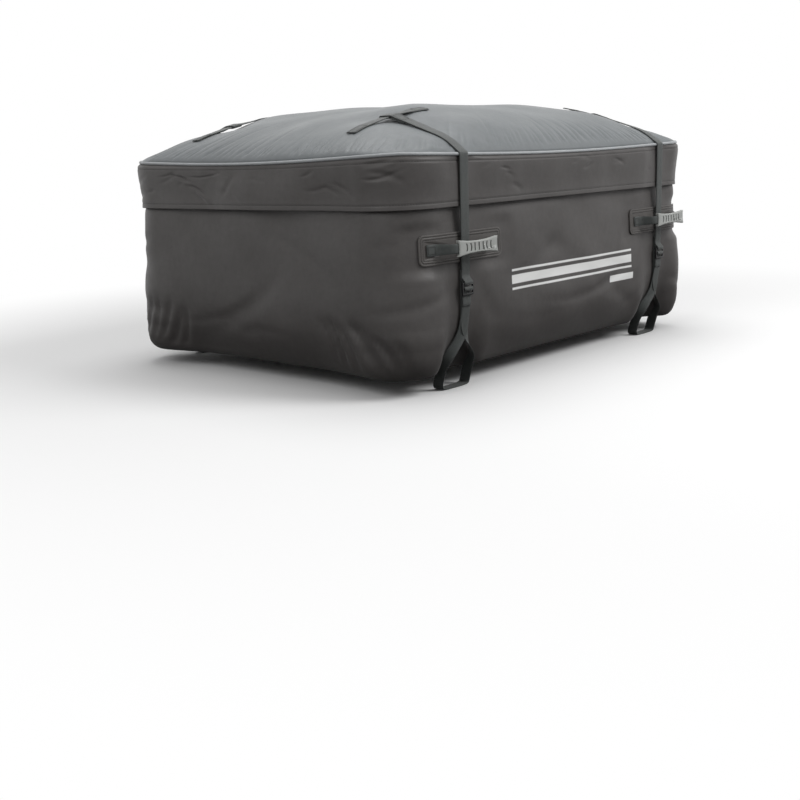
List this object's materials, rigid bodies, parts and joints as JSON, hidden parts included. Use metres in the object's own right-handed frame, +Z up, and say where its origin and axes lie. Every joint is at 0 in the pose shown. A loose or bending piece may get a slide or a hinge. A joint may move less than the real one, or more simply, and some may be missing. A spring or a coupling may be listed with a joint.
{
  "type": "roof cargo bag",
  "caption": "Soft zipped luggage bag for a car roof, with domed lid, storm flap, side grips and webbing straps that loop round roof bars.",
  "frame": {"origin": "centre of the flat base, on its underside", "axes": "+X to the left of the car, +Y to its rear, +Z up"},
  "size_m": [0.9168, 1.087, 0.5615],
  "materials": {
    "coated": "coated cloth, semi-matt dark warm grey",
    "lid_cloth": "coated cloth, semi-matt mid grey",
    "piping": "pale grey bound bead",
    "zip": "black tape and coil",
    "zip_metal": "dark lacquered zinc",
    "patch_cloth": "double layer of coated cloth",
    "webbing": "woven dark grey-green webbing",
    "grip": "pale grey soft moulding",
    "buckle": "black moulding"
  },
  "bodies": {
    "bag": {"tub": "coated", "base_panel": "coated", "lid_band": "coated", "storm_flap": "coated", "storm_flap_rear": "coated", "hinge_strip": "coated", "lid_panel": "lid_cloth", "rim_piping": "piping", "zip_tape_upper": "zip", "zip_coil_upper": "zip", "zip_coil_lower": "zip", "zip_tape_lower": "zip", "side_patch_left_front": "patch_cloth", "side_patch_right_front": "patch_cloth", "side_patch_left_rear": "patch_cloth", "side_patch_right_rear": "patch_cloth", "side_handle_left_front": "webbing", "side_handle_right_front": "webbing", "top_handle_left_front": "webbing", "top_handle_right_front": "webbing", "upper_strap_left_front": "webbing", "upper_strap_right_front": "webbing", "lower_strap_left_front": "webbing", "lower_strap_right_front": "webbing", "side_handle_left_rear": "webbing", "side_handle_right_rear": "webbing", "top_handle_left_rear": "webbing", "top_handle_right_rear": "webbing", "upper_strap_left_rear": "webbing", "upper_strap_right_rear": "webbing", "lower_strap_left_rear": "webbing", "lower_strap_right_rear": "webbing", "side_grip_left_front": "grip", "side_grip_right_front": "grip", "side_grip_left_rear": "grip", "side_grip_right_rear": "grip", "ladder_lock_left_front": "buckle", "ladder_lock_right_front": "buckle", "ladder_lock_left_rear": "buckle", "ladder_lock_right_rear": "buckle"},
    "slider_left": {"zip_slider_left": "zip_metal"},
    "slider_right": {"zip_slider_right": "zip_metal"},
    "tab_left": {"pull_tab_left": "zip_metal"},
    "tab_right": {"pull_tab_right": "zip_metal"}
  },
  "joints": [
    {"name": "zip_slide_left", "type": "slide", "parent": "bag", "child": "slider_left", "axis": [1, 0, 0], "range_m": [0, 0.29]},
    {"name": "pull_tab_swing_left", "type": "hinge", "parent": "slider_left", "child": "tab_left", "pos_m": [0.0095, 0.5299, 0.362], "axis": [1, 0, 0], "range_deg": [-2, 18]},
    {"name": "zip_slide_right", "type": "slide", "parent": "bag", "child": "slider_right", "axis": [-1, 0, 0], "range_m": [0, 0.29]},
    {"name": "pull_tab_swing_right", "type": "hinge", "parent": "slider_right", "child": "tab_right", "pos_m": [-0.0095, 0.5299, 0.362], "axis": [1, 0, 0], "range_deg": [-2, 18]}
  ]
}
